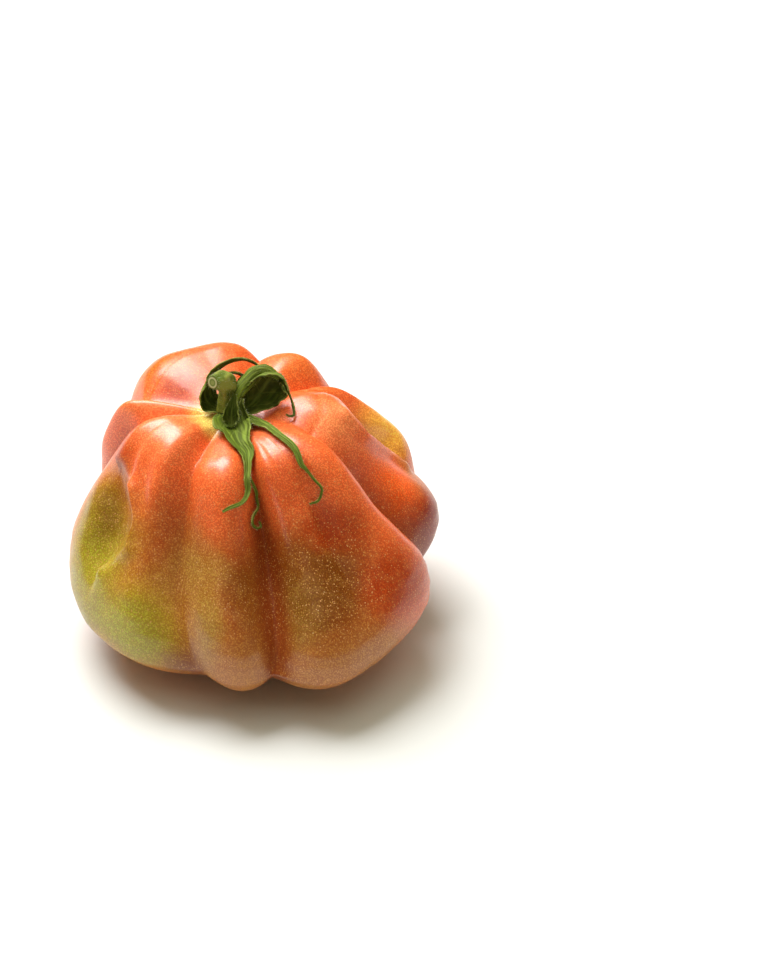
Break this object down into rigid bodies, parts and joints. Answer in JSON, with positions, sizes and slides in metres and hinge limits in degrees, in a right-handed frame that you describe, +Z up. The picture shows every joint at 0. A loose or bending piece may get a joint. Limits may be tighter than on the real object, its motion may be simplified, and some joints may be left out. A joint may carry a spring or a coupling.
{
  "type": "tomato",
  "caption": "Pleated oxheart tomato with deep folds between its lobes, a dried curling green calyx and a short cut stalk, resting on a small flat blossom end.",
  "frame": {"origin": "middle of the small flat spot at the blossom end that the fruit rests on", "axes": "+Z up from the flat spot towards the eye and the stalk, -Y towards the front with the deepest fold, +X to the right seen from the front"},
  "size_m": [0.1046, 0.1002, 0.0792],
  "materials": {
    "skin": "smooth, waxy and semi-gloss; orange-red, shading to olive green and ochre on some lobes, with fine pale flecks",
    "leaf": "matt, veined and finely haired; olive to dark green with pale rims",
    "stem": "matt, finely ribbed and haired; olive green with a pale ring round the cut end"
  },
  "bodies": {
    "root": {"fruit": "skin", "calyx": "leaf", "stalk": "stem"}
  },
  "joints": []
}
